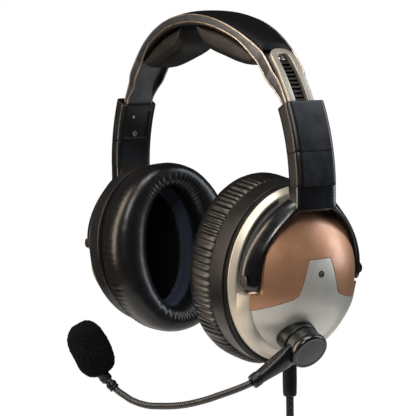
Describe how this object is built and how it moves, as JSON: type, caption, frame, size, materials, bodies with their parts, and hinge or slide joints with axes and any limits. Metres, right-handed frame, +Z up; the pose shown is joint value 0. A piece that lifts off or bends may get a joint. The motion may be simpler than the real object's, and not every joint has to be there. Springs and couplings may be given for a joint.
{
  "type": "aviation headset",
  "caption": "Over-ear aviation headset: padded headband, sliding, swivelling and tilting ear cups, bendable boom microphone with foam windscreen, and a tied cord with a round connector.",
  "frame": {"origin": "where the underside of the head pad rests on the crown of the head, in the middle plane", "axes": "+X to the wearer's left, -Y to the front, +Z up"},
  "size_m": [0.212, 0.1379, 0.3325],
  "materials": {
    "frame_metal": "satin gunmetal with polished champagne edges",
    "cover_black": "smooth satin black",
    "pad_leather": "soft black leather",
    "spring_steel": "brushed",
    "rail_champagne": "champagne satin",
    "screw_steel": "machined",
    "cable_black": "matt",
    "sleeve_black": "satin black",
    "yoke_black": "gloss black",
    "shell_champagne": "pearl champagne",
    "ring_black": "satin black",
    "dome_bronze": "satin bronze",
    "cover_grey": "satin champagne grey",
    "cushion_leather": "soft black leather",
    "baffle_cloth": "blue grey cloth",
    "speaker_black": "moulded",
    "board_green": "coated",
    "boom_black": "satin black",
    "knob_black": "gloss black",
    "gooseneck_black": "ribbed",
    "collar_silver": "polished",
    "foam_black": "open cell foam",
    "cord_black": "braided sleeve",
    "plug_black": "satin",
    "plug_metal": "satin nickel",
    "contact_gold": "plated"
  },
  "bodies": {
    "headband": {"headband_frame": "frame_metal", "headband_cover": "cover_black", "head_pad": "pad_leather", "spring_strips": "spring_steel", "rail_screws": "screw_steel", "crossover_cable": "cable_black", "left_slider_rails": "rail_champagne", "right_slider_rails": "rail_champagne"},
    "left_sleeve": {"left_sleeve_upper": "sleeve_black", "left_sleeve_lower": "sleeve_black", "left_detent_spring": "spring_steel", "left_sleeve_screws": "screw_steel", "left_swivel_pin": "screw_steel"},
    "right_sleeve": {"right_sleeve_upper": "sleeve_black", "right_sleeve_lower": "sleeve_black", "right_detent_spring": "spring_steel", "right_sleeve_screws": "screw_steel", "right_swivel_pin": "screw_steel"},
    "left_fork": {"left_yoke": "yoke_black"},
    "right_fork": {"right_yoke": "yoke_black"},
    "left_cup": {"left_cup_pins": "screw_steel", "left_cup_shell": "shell_champagne", "left_seal_ring": "ring_black", "left_dome_cover": "dome_bronze", "left_lower_cover": "cover_grey", "left_cover_screw": "screw_steel", "left_ear_cushion": "cushion_leather", "left_baffle": "baffle_cloth", "left_speaker": "speaker_black", "left_noise_board": "board_green", "boom_socket": "boom_black", "strain_relief": "boom_black", "cord": "cord_black", "cord_coil": "cord_black", "cord_tail": "cord_black", "cord_tie": "cable_black", "plug_shell": "plug_black", "plug_nut": "plug_metal", "plug_nose": "plug_metal", "plug_contacts": "contact_gold"},
    "right_cup": {"right_cup_pins": "screw_steel", "right_cup_shell": "shell_champagne", "right_seal_ring": "ring_black", "right_dome_cover": "dome_bronze", "right_lower_cover": "cover_grey", "right_cover_screw": "screw_steel", "right_ear_cushion": "cushion_leather", "right_baffle": "baffle_cloth", "right_speaker": "speaker_black", "right_noise_board": "board_green"},
    "boom": {"boom_arm": "boom_black", "boom_knob": "knob_black", "gooseneck": "gooseneck_black", "mic_collar": "collar_silver"},
    "microphone": {"mic_holder": "boom_black", "mic_capsule": "speaker_black", "windscreen": "foam_black"}
  },
  "joints": [
    {"name": "left_slide", "type": "hinge", "parent": "headband", "child": "left_sleeve", "pos_m": [0, 0, -0.062], "axis": [0, -1, 0], "range_deg": [0, 15]},
    {"name": "left_swivel", "type": "hinge", "parent": "left_sleeve", "child": "left_fork", "pos_m": [0.0952, 0, -0.062], "axis": [0, 0, 1], "range_deg": [-10, 10]},
    {"name": "left_tilt", "type": "hinge", "parent": "left_fork", "child": "left_cup", "pos_m": [0.087, 0, -0.106], "axis": [0, 1, 0], "range_deg": [-8, 5]},
    {"name": "right_slide", "type": "hinge", "parent": "headband", "child": "right_sleeve", "pos_m": [0, 0, -0.062], "axis": [0, 1, 0], "range_deg": [0, 15]},
    {"name": "right_swivel", "type": "hinge", "parent": "right_sleeve", "child": "right_fork", "pos_m": [-0.0952, 0, -0.062], "axis": [0, 0, -1], "range_deg": [-10, 10]},
    {"name": "right_tilt", "type": "hinge", "parent": "right_fork", "child": "right_cup", "pos_m": [-0.087, 0, -0.106], "axis": [0, -1, 0], "range_deg": [-8, 5]},
    {"name": "boom_turn", "type": "hinge", "parent": "left_cup", "child": "boom", "pos_m": [0.1015, -0.007, -0.143], "axis": [-0.8829, 0, 0.4695], "range_deg": [-20, 70]},
    {"name": "mic_tilt", "type": "hinge", "parent": "boom", "child": "microphone", "pos_m": [0.017, -0.079, -0.163], "axis": [0.6402, -0.7682, 0], "range_deg": [-20, 20]}
  ]
}
